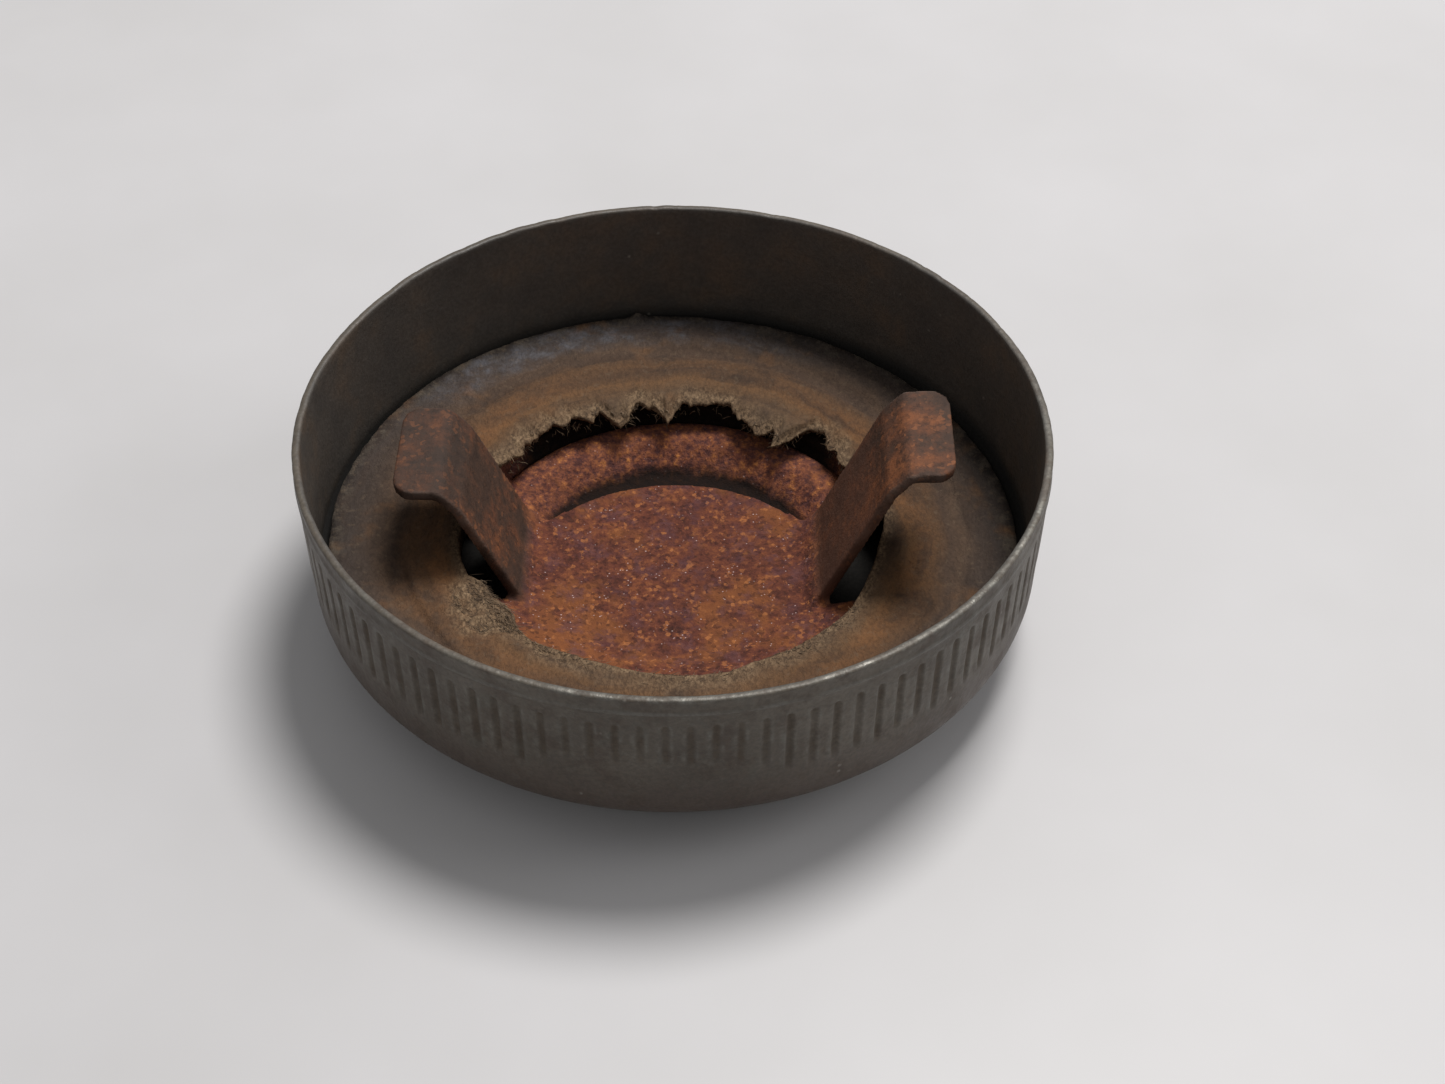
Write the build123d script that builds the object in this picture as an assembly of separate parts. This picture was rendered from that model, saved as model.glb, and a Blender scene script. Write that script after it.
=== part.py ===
from build123d import *
import os
from math import sin, cos, tan, radians, degrees, atan2, hypot, pi

# Fuel tank cap: a twist-on cap for a bayonet filler neck, of three pieces.
# Frame: millimetres, +Z up. The cap lies on its crown, mouth up. The origin
# is the centre of the crown's outer face, which is the lowest face, and the
# cap's axis is Z. The two ears stand along X.

os.makedirs("parts", exist_ok=True)

# ---------------------------------------------------------------- dimensions
HEIGHT = 23.9            # crown face to rim
SHEET = 0.85             # shell sheet
R_RIM = 40.0             # outside radius at the rim
R_SKIRT = 39.6           # outside radius where the shoulder starts
Z_SHOULDER = 8.85        # height where the shoulder starts
R_SHOULDER = 3.85        # outside radius of the shoulder bend
SHOULDER_TURN = 62.0     # degrees that the shoulder turns
R_PANEL = 33.8           # outside radius of the raised crown panel
R_PANEL_EDGE = 0.7       # rounding of the panel's edge
BAND = 1.75              # height of the plain band under the rim
BEAD = 0.12              # how far the bead under the band stands out

FLUTES = 104             # pressed flutes round the skirt
FLUTE_TOP = 3.5          # top of the flutes, below the rim
FLUTE_LENGTH = 8.0
FLUTE_DEPTH = 0.26
FLUTE_RADIUS = 0.62      # section radius of the flute's round tool

GASKET_R = 37.9          # gasket outside radius
GASKET_HOLE = 22.1       # its nominal hole radius
GASKET_BOTTOM = 6.1
GASKET_TOP = 8.7
GASKET_CHAMFER = 1.6     # its lower outer edge, squeezed to the shoulder
PRINT_R = 31.3           # mean radius of the ring the filler neck pressed in
PRINT_W = 2.6
PRINT_D = 0.3

PLATE = 0.95             # lock plate sheet
PAD_TOP = 3.25           # top of the flat centre
PAD_R = 14.6             # radius of the flat centre
FLANGE_TOP = 6.1         # top of the outer flange, under the gasket
FLANGE_R_IN = 25.6
FLANGE_R = 35.1
NOTCH_HALF = 7.25        # half width of the gaps that the ears were cut from
EAR_HALF = 7.0           # half width of an ear
EAR_SHEET = 1.15

POCKET_ARC_Y = -5.9      # centre and radius of the pocket's edge by the centre
POCKET_ARC_R = 19.1
POCKET_FLOOR = 1.8       # top of its floor, whose underside lies on the crown
RIB_FOOT = 16.0          # radius where the rib starts to rise
RIB_R0 = 19.6            # radii of the rib's top
RIB_R1 = 22.5
RIB_TOP = 4.7
RIB_BACK = 2.6           # foot of the drop behind the rib

# Torn inner edge of the gasket: azimuth in degrees and radius in mm. The far
# side is torn back unevenly, with tags left hanging into the hole.
TEAR = [(-178, 23.6), (-168, 23.8), (-160, 23.6), (-157, 22.4), (-151, 22.2),
        (-145, 21.6), (-141, 21.6), (-136, 22.6), (-130, 22.9), (-121, 22.2),
        (-110, 21.8), (-98, 22.0), (-85, 22.1), (-74, 22.2), (-67, 21.6),
        (-55, 21.8), (-45, 21.9), (-30, 22.3), (-17, 22.1), (-3, 22.6),
        (8, 23.6), (18, 23.2), (28, 22.6), (33, 22.6), (37, 23.3), (42, 23.4),
        (46, 24.4), (50, 23.6), (52.5, 21.4), (54.5, 19.6), (57, 21.2),
        (61, 20.4), (66, 20.4), (70, 21.4), (74, 22.4), (84, 22.2), (91, 22.0),
        (94, 20.4), (98, 21.2), (102, 22.3), (107, 20.9), (111.5, 20.7),
        (115, 22.4), (119, 21.8), (123, 22.6), (128, 22.4), (134, 22.8),
        (139, 23.1), (144, 22.3), (149, 22.1), (154, 22.5), (164, 23.2),
        (174, 23.5)]


# ------------------------------------------------------------------- shell
def shell_profile(t):
    """Shoulder and panel line in the XZ plane, t inside the outside line."""
    cx, cz = R_SKIRT - R_SHOULDER, Z_SHOULDER
    r = R_SHOULDER - t
    a = radians(SHOULDER_TURN)
    end = (cx + r * cos(a), cz - r * sin(a))
    mid = (cx + r * cos(a / 2), cz - r * sin(a / 2))
    rp = R_PANEL - t
    # the straight run in from the shoulder to the panel's wall
    zp = end[1] - (end[0] - rp) / tan(a)
    return (cx + r, cz), mid, end, (rp, zp)


def build_shell():
    o_start, o_mid, o_end, o_pan = shell_profile(0.0)
    i_start, i_mid, i_end, i_pan = shell_profile(SHEET)
    e = R_PANEL_EDGE
    s45 = sin(radians(45))
    zb = HEIGHT - BAND
    # the skirt tapers by 0.4 mm down to the shoulder
    slope = (R_RIM - R_SKIRT) / (HEIGHT - Z_SHOULDER)
    r_at = lambda z: R_SKIRT + slope * (z - Z_SHOULDER)
    with BuildPart() as bp:
        with BuildSketch(Plane.XZ):
            with BuildLine():
                Line((0, 0), (R_PANEL - e, 0))
                ThreePointArc((R_PANEL - e, 0),
                              (R_PANEL - e + e * s45, e - e * s45),
                              (R_PANEL, e))
                Line((R_PANEL, e), o_pan)
                Line(o_pan, o_end)
                ThreePointArc(o_end, o_mid, o_start)
                # up the skirt to the bead at the foot of the plain band
                Line(o_start, (r_at(zb - 0.45), zb - 0.45))
                ThreePointArc((r_at(zb - 0.45), zb - 0.45),
                              (r_at(zb - 0.15) + BEAD, zb - 0.15),
                              (r_at(zb + 0.15), zb + 0.15))
                Line((r_at(zb + 0.15), zb + 0.15), (R_RIM, HEIGHT - 0.2))
                Line((R_RIM, HEIGHT - 0.2), (R_RIM - 0.2, HEIGHT))
                Line((R_RIM - 0.2, HEIGHT), (R_RIM - SHEET + 0.2, HEIGHT))
                Line((R_RIM - SHEET + 0.2, HEIGHT),
                     (R_RIM - SHEET, HEIGHT - 0.2))
                Line((R_RIM - SHEET, HEIGHT - 0.2), i_start)
                ThreePointArc(i_start, i_mid, i_end)
                Line(i_end, i_pan)
                Line(i_pan, (R_PANEL - SHEET, SHEET))
                Line((R_PANEL - SHEET, SHEET), (0, SHEET))
                Line((0, SHEET), (0, 0))
            make_face()
        revolve(axis=Axis.Z)
    shell = bp.part
    # pressed flutes: round-bottomed, with a round top end, run along the taper
    z1 = HEIGHT - FLUTE_TOP - FLUTE_RADIUS * 0.6
    z0 = HEIGHT - FLUTE_TOP - FLUTE_LENGTH
    tools = []
    for k in range(FLUTES):
        az = 360.0 * k / FLUTES
        c1 = r_at(z1) - FLUTE_DEPTH + FLUTE_RADIUS
        c0 = r_at(z0) - FLUTE_DEPTH + FLUTE_RADIUS
        n = Vector(cos(radians(az)), sin(radians(az)), 0)
        p0 = n * c0 + Vector(0, 0, z0)
        p1 = n * c1 + Vector(0, 0, z1)
        d = (p1 - p0).normalized()
        cyl = Solid.make_cylinder(FLUTE_RADIUS, (p1 - p0).length,
                                  Plane(origin=p0, z_dir=d))
        tools.append(cyl)
    return shell.cut(*tools)


# ------------------------------------------------------------------- gasket
def build_gasket():
    g0, g1 = GASKET_BOTTOM, GASKET_TOP
    pr0, pr1 = PRINT_R - PRINT_W / 2, PRINT_R + PRINT_W / 2
    with BuildPart() as bp:
        with BuildSketch(Plane.XZ):
            with BuildLine():
                Polyline((15.0, g0), (GASKET_R - GASKET_CHAMFER, g0),
                         (GASKET_R, g0 + GASKET_CHAMFER),
                         (GASKET_R, g1 - 0.15), (GASKET_R - 0.15, g1),
                         (pr1, g1), (pr1 - 0.35, g1 - PRINT_D),
                         (pr0 + 0.35, g1 - PRINT_D), (pr0, g1),
                         (15.0, g1), close=True)
            make_face()
        revolve(axis=Axis.Z)
    pts = [(r * cos(radians(a)), r * sin(radians(a))) for a, r in TEAR]
    with BuildPart() as hp:
        with BuildSketch(Plane.XY.offset(g0 - 1)):
            with BuildLine():
                Polyline(*pts, close=True)
            make_face()
        extrude(amount=g1 - g0 + 2)
    return bp.part - hp.part


# --------------------------------------------------------------- lock plate
def strip(points, thick):
    """The lower face's line under a bent strip's upper one, in XZ."""
    n = len(points)
    low = []
    for i, p in enumerate(points):
        a = points[max(i - 1, 0)]
        b = points[min(i + 1, n - 1)]
        dx, dz = b[0] - a[0], b[1] - a[1]
        m = hypot(dx, dz)
        low.append((p[0] + dz / m * thick, p[1] - dx / m * thick))
    return low


def ear(side, x_root, knee, lean_top, tip, flange_z):
    """One ear: up and outward from the centre plate, then folded flat out.

    side is +1 or -1 along X. The upper face runs from the root, round the
    root bend, up the leaning upright and round the top bend to the tip.
    """
    kx, kz = knee
    lx, lz = lean_top
    pts = [(x_root - 2.0, PAD_TOP), (x_root, PAD_TOP), (kx, kz), (lx, lz),
           (lx + 2.1, flange_z), (tip, flange_z + 0.1)]
    radii = [2.2, 3.2, 2.6, 1.7]
    line = round_line(pts, radii)
    low = strip(line, EAR_SHEET)
    poly = line + low[::-1]
    with BuildPart() as ep:
        with BuildSketch(Plane.XZ):
            with BuildLine():
                Polyline(*poly, close=True)
            make_face()
        extrude(amount=EAR_HALF, both=True)
    body = ep.part
    # round the two corners of the tip in plan
    with BuildPart() as cp:
        with BuildSketch(Plane.XY.offset(-1)):
            with BuildLine():
                c = 2.3
                Line((x_root - 4, -EAR_HALF), (tip - c, -EAR_HALF))
                RadiusArc((tip - c, -EAR_HALF), (tip, -EAR_HALF + c), -c)
                Line((tip, -EAR_HALF + c), (tip, EAR_HALF - c))
                RadiusArc((tip, EAR_HALF - c), (tip - c, EAR_HALF), -c)
                Line((tip - c, EAR_HALF), (x_root - 4, EAR_HALF))
                Line((x_root - 4, EAR_HALF), (x_root - 4, -EAR_HALF))
            make_face()
        extrude(amount=40)
    body = body & cp.part
    if side < 0:
        body = body.mirror(Plane.YZ)
    return body


def round_line(pts, radii, steps=7):
    """A polyline with its inner corners rounded, given as points."""
    out = [pts[0]]
    for i in range(1, len(pts) - 1):
        p, a, b = pts[i], pts[i - 1], pts[i + 1]
        ua = ((a[0] - p[0]), (a[1] - p[1]))
        ub = ((b[0] - p[0]), (b[1] - p[1]))
        la, lb = hypot(*ua), hypot(*ub)
        ua = (ua[0] / la, ua[1] / la)
        ub = (ub[0] / lb, ub[1] / lb)
        dot = ua[0] * ub[0] + ua[1] * ub[1]
        half = 0.5 * atan2((1 - dot * dot) ** 0.5, dot)
        r = radii[i - 1]
        cut = min(r / tan(half), 0.48 * la, 0.48 * lb)
        r = cut * tan(half)
        s = (p[0] + ua[0] * cut, p[1] + ua[1] * cut)
        e = (p[0] + ub[0] * cut, p[1] + ub[1] * cut)
        bis = (ua[0] + ub[0], ua[1] + ub[1])
        lbis = hypot(*bis)
        c = (p[0] + bis[0] / lbis * r / sin(half),
             p[1] + bis[1] / lbis * r / sin(half))
        a0 = atan2(s[1] - c[1], s[0] - c[0])
        a1 = atan2(e[1] - c[1], e[0] - c[0])
        d = (a1 - a0 + pi) % (2 * pi) - pi
        for k in range(steps + 1):
            t = a0 + d * k / steps
            out.append((c[0] + r * cos(t), c[1] + r * sin(t)))
    out.append(pts[-1])
    return out


def revolve_poly(pts):
    with BuildPart() as bp:
        with BuildSketch(Plane.XZ):
            with BuildLine():
                Polyline(*pts, close=True)
            make_face()
        revolve(axis=Axis.Z)
    return bp.part


def pocket_prism(grow, z0, z1):
    """The pocket in plan: between the arc by the centre and a far circle,
    closed by two slanted ends beside the ears. grow widens it all round."""
    ra = POCKET_ARC_R - grow
    x_e = 15.0 + grow           # the ends by the ears
    y_a = POCKET_ARC_Y + (ra ** 2 - x_e ** 2) ** 0.5
    rf = 24.2 + grow
    x_f = 20.4 + grow
    y_f = (rf ** 2 - x_f ** 2) ** 0.5
    with BuildPart() as bp:
        with BuildSketch(Plane.XY.offset(z0)):
            with BuildLine():
                ThreePointArc((-x_e, y_a), (0, POCKET_ARC_Y + ra), (x_e, y_a))
                Line((x_e, y_a), (x_f, y_f))
                ThreePointArc((x_f, y_f), (0, rf), (-x_f, y_f))
                Line((-x_f, y_f), (-x_e, y_a))
            make_face()
        extrude(amount=z1 - z0)
    return bp.part


def build_plate():
    t = PLATE
    # the dish: flat centre, flank and flange, with soft bends
    top = round_line([(0, PAD_TOP), (PAD_R, PAD_TOP),
                      (FLANGE_R_IN, FLANGE_TOP), (FLANGE_R, FLANGE_TOP)],
                     [9.0, 6.0], 6)
    low = [(x, z - t) for x, z in top]
    dish = revolve_poly(top + low[::-1])
    # the pocket: a groove beside the centre that lies on the crown, then a
    # rounded rib, and a drop behind the rib under the gasket
    s_top = [(0, POCKET_FLOOR), (RIB_FOOT, POCKET_FLOOR), (RIB_R0, RIB_TOP),
             (RIB_R1, RIB_TOP), (24.6, RIB_BACK)]
    s_top = round_line(s_top, [1.6, 2.8, 1.3], 6)
    s_low = [(x, z - t) for x, z in s_top]
    upper = revolve_poly(s_top + [(24.6, 9.0), (0, 9.0)])
    # everything between the pocket's underside and the dish's top face
    cover = [p for p in top if p[0] < 24.55] + [(24.6, top_z(top, 24.6))]
    body = revolve_poly(cover + s_low[::-1])
    outer = body & pocket_prism(1.0, 0.0, 12.0)
    inner = upper & pocket_prism(0.0, 0.0, 12.0)
    plate = dish + outer - inner
    # the gaps that the two ears were cut from, open to the plate's edge
    for side, x_in in ((1, 15.9), (-1, 17.1)):
        w = 40.0 - x_in
        plate = plate - Pos(side * (x_in + w / 2), 0, 6) * Box(
            w, 2 * NOTCH_HALF, 14)
    right = ear(1, 14.2, (15.9, 5.0), (22.6, 20.3), 29.6, 22.75)
    left = ear(-1, 15.2, (16.9, 4.9), (22.4, 17.2), 29.6, 19.75)
    plate = plate + right + left
    return plate


def top_z(line, x):
    for a, b in zip(line, line[1:]):
        if a[0] <= x <= b[0]:
            return a[1] + (b[1] - a[1]) * (x - a[0]) / (b[0] - a[0])
    return line[-1][1]


if __name__ == "__main__":
    for name, make in (("cap_shell", build_shell), ("gasket", build_gasket),
                       ("lock_plate", build_plate)):
        shape = make()
        solids = shape.solids()
        print(name, "solids", len(solids), "volume %.1f" % shape.volume)
        export_step(shape, "parts/%s.step" % name)
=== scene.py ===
"""Looks of the fuel tank cap: patinated shell, torn fibre gasket, rusted lock plate."""

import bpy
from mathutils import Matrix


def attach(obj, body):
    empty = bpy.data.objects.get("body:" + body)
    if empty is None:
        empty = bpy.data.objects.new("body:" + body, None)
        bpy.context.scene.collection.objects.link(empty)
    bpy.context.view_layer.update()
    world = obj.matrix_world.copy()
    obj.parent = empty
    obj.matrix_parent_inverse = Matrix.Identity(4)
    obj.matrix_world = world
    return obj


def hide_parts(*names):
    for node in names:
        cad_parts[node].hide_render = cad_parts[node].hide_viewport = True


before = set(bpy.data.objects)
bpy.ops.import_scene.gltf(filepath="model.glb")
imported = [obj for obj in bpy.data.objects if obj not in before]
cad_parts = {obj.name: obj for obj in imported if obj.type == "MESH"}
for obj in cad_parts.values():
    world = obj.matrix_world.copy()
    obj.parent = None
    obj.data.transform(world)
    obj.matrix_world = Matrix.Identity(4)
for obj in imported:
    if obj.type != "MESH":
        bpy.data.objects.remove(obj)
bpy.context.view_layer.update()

import math

import bmesh
import bpy
import numpy as np
from mathutils import Matrix, Vector

MM = 0.001
HEIGHT, SHEET = 23.9, 0.85
R_RIM, R_SKIRT, Z_SH, R_SH, TURN, R_PANEL = 40.0, 39.6, 8.85, 3.85, 62.0, 33.8
FLUTES, FLUTE_Z0, FLUTE_Z1 = 104, 12.4, 20.4


# ------------------------------------------------------------------ numpy noise
def _hash(ix, iy, iz, seed):
    n = (ix * 374761393 + iy * 668265263 + iz * 1442695041 + seed * 974634777) & 0xFFFFFFFF
    n = ((n ^ (n >> 13)) * 1274126177) & 0xFFFFFFFF
    n = ((n ^ (n >> 15)) * 1103515245) & 0xFFFFFFFF
    return (n ^ (n >> 16)) / 4294967295.0


def noise(p, scale, seed=0):
    """Value noise 0..1 at points p (n, 3), with features of that size."""
    q = np.asarray(p, float) / scale + 137.31
    i = np.floor(q).astype(np.int64)
    f = q - i
    f = f * f * f * (f * (f * 6 - 15) + 10)
    out = np.zeros(len(q))
    for dx in (0, 1):
        wx = f[:, 0] if dx else 1 - f[:, 0]
        for dy in (0, 1):
            wy = f[:, 1] if dy else 1 - f[:, 1]
            for dz in (0, 1):
                wz = f[:, 2] if dz else 1 - f[:, 2]
                out += wx * wy * wz * _hash(i[:, 0] + dx, i[:, 1] + dy, i[:, 2] + dz, seed)
    return out


def fbm(p, scale, octaves=4, seed=0, gain=0.5):
    out, amp, tot = np.zeros(len(p)), 1.0, 0.0
    for k in range(octaves):
        out += amp * (noise(p, scale / 2.03**k, seed + 17 * k) - 0.5)
        tot += amp
        amp *= gain
    return out / tot * 2


def ss(a, b, x):
    t = np.clip((x - a) / (b - a), 0, 1)
    return t * t * (3 - 2 * t)


def mesh_object(name, verts_mm, faces, attrs=None, smooth=True):
    me = bpy.data.meshes.new(name)
    v = np.asarray(verts_mm, float) * MM
    if isinstance(faces, np.ndarray):
        k = faces.shape[1]
        me.vertices.add(len(v))
        me.vertices.foreach_set("co", v.ravel())
        me.loops.add(faces.size)
        me.loops.foreach_set("vertex_index", faces.ravel().astype(np.int32))
        me.polygons.add(len(faces))
        me.polygons.foreach_set("loop_start", (np.arange(len(faces)) * k).astype(np.int32))
    else:
        me.from_pydata([tuple(p) for p in v], [], [tuple(map(int, f)) for f in faces])
    me.update(calc_edges=True)
    me.validate()
    me.polygons.foreach_set("use_smooth", np.full(len(me.polygons), smooth))
    for k, a in (attrs or {}).items():
        at = me.attributes.new(k, "FLOAT", "POINT")
        at.data.foreach_set("value", np.asarray(a, np.float32))
    ob = bpy.data.objects.new(name, me)
    bpy.context.scene.collection.objects.link(ob)
    return ob


def ring_mesh(name, P, closed_rows=True, attrs=None):
    """P (rows, cols, 3) in mm: columns wrap; rows wrap when closed_rows."""
    nr, nc = P.shape[:2]
    i = np.arange(nr if closed_rows else nr - 1)
    j = np.arange(nc)
    I, J = np.meshgrid(i, j, indexing="ij")
    I2, J2 = (I + 1) % nr, (J + 1) % nc
    f = np.stack([I * nc + J, I2 * nc + J, I2 * nc + J2, I * nc + J2], -1).reshape(-1, 4)
    V = P.reshape(-1, 3)
    a, b, c, d = (V[f[:, k]] for k in range(4))
    vol = (np.cross(b - a, c - a) * a).sum() + (np.cross(c - a, d - a) * a).sum()
    if vol < 0:
        f = f[:, ::-1]
    return mesh_object(name, V, np.ascontiguousarray(f), attrs)


# ------------------------------------------------------------------ node helpers
class Mat:
    def __init__(self, name):
        self.m = bpy.data.materials.new(name)
        self.m.use_nodes = True
        self.t = self.m.node_tree
        self.t.nodes.clear()
        self.out = self.t.nodes.new("ShaderNodeOutputMaterial")
        self.b = self.t.nodes.new("ShaderNodeBsdfPrincipled")
        self.t.links.new(self.b.outputs[0], self.out.inputs[0])
        self.tc = self.t.nodes.new("ShaderNodeTexCoord")
        self.pos = self.tc.outputs["Object"]

    def put(self, sock, v):
        if isinstance(v, bpy.types.NodeSocket):
            self.t.links.new(v, sock)
        elif isinstance(v, (tuple, list)) and len(v) == 3 and sock.type == "RGBA":
            sock.default_value = (*v, 1)
        else:
            sock.default_value = v

    def set(self, **kw):
        for k, v in kw.items():
            self.put(self.b.inputs[k.replace("_", " ")], v)

    def math(self, op, a, b=None, c=None, clamp=False):
        n = self.t.nodes.new("ShaderNodeMath")
        n.operation = op
        n.use_clamp = clamp
        self.put(n.inputs[0], a)
        if b is not None:
            self.put(n.inputs[1], b)
        if c is not None:
            self.put(n.inputs[2], c)
        return n.outputs[0]

    def scaled(self, v, s):
        n = self.t.nodes.new("ShaderNodeVectorMath")
        n.operation = "MULTIPLY"
        self.put(n.inputs[0], v)
        n.inputs[1].default_value = s
        return n.outputs[0]

    def noise(self, size_mm, detail=3.0, rough=0.55, vec=None, dist=0.0, seed=0.0):
        n = self.t.nodes.new("ShaderNodeTexNoise")
        n.noise_dimensions = "4D"
        self.put(n.inputs["Vector"], vec or self.pos)
        n.inputs["W"].default_value = seed
        n.inputs["Scale"].default_value = 1000.0 / size_mm
        n.inputs["Detail"].default_value = detail
        n.inputs["Roughness"].default_value = rough
        n.inputs["Distortion"].default_value = dist
        return n.outputs["Fac"]

    def voronoi(self, size_mm, feature="F1", vec=None, rand=1.0, out="Distance"):
        n = self.t.nodes.new("ShaderNodeTexVoronoi")
        n.feature = feature
        self.put(n.inputs["Vector"], vec or self.pos)
        n.inputs["Scale"].default_value = 1000.0 / size_mm
        n.inputs["Randomness"].default_value = rand
        return n.outputs[out]

    def warped(self, size_mm, amount_mm):
        n = self.t.nodes.new("ShaderNodeTexNoise")
        self.put(n.inputs["Vector"], self.pos)
        n.inputs["Scale"].default_value = 1000.0 / size_mm
        n.inputs["Detail"].default_value = 2.0
        a = self.t.nodes.new("ShaderNodeVectorMath")
        a.operation = "MULTIPLY_ADD"
        self.put(a.inputs[0], n.outputs["Color"])
        a.inputs[1].default_value = (amount_mm * MM,) * 3
        self.put(a.inputs[2], self.pos)
        return a.outputs[0]

    def ramp(self, fac, stops, interp="LINEAR"):
        n = self.t.nodes.new("ShaderNodeValToRGB")
        r = n.color_ramp
        r.interpolation = interp
        while len(r.elements) < len(stops):
            r.elements.new(0.5)
        for e, (p, c) in zip(r.elements, stops):
            e.position = p
            e.color = (*c, 1) if not isinstance(c, (int, float)) else (c, c, c, 1)
        self.put(n.inputs[0], fac)
        return n.outputs[0]

    def span(self, v, a, b, lo=0.0, hi=1.0, smooth=True):
        n = self.t.nodes.new("ShaderNodeMapRange")
        n.interpolation_type = "SMOOTHSTEP" if smooth else "LINEAR"
        self.put(n.inputs["Value"], v)
        for k, x in (("From Min", a), ("From Max", b), ("To Min", lo), ("To Max", hi)):
            n.inputs[k].default_value = x
        return n.outputs[0]

    def mix(self, fac, a, b, mode="MIX"):
        n = self.t.nodes.new("ShaderNodeMix")
        n.data_type = "RGBA"
        n.blend_type = mode
        n.clamp_factor = True
        self.put(n.inputs[0], fac)
        self.put(n.inputs[6], a)
        self.put(n.inputs[7], b)
        return n.outputs[2]

    def vec(self, a, b, c):
        n = self.t.nodes.new("ShaderNodeCombineXYZ")
        for k, v in enumerate((a, b, c)):
            self.put(n.inputs[k], v)
        return n.outputs[0]

    def attr(self, name):
        n = self.t.nodes.new("ShaderNodeAttribute")
        n.attribute_name = name
        return n.outputs["Fac"]

    def xyz(self, vec=None):
        n = self.t.nodes.new("ShaderNodeSeparateXYZ")
        self.put(n.inputs[0], vec or self.pos)
        return n.outputs

    def radius(self):
        x, y, _ = self.xyz()
        return self.math("MULTIPLY", self.math("SQRT", self.math("ADD", self.math("MULTIPLY", x, x), self.math("MULTIPLY", y, y))), 1000.0)

    def bump(self, height, dist_mm, strength=1.0, normal=None):
        n = self.t.nodes.new("ShaderNodeBump")
        n.inputs["Strength"].default_value = strength
        n.inputs["Distance"].default_value = dist_mm * MM
        self.put(n.inputs["Height"], height)
        if normal is not None:
            self.put(n.inputs["Normal"], normal)
        return n.outputs[0]


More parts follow.
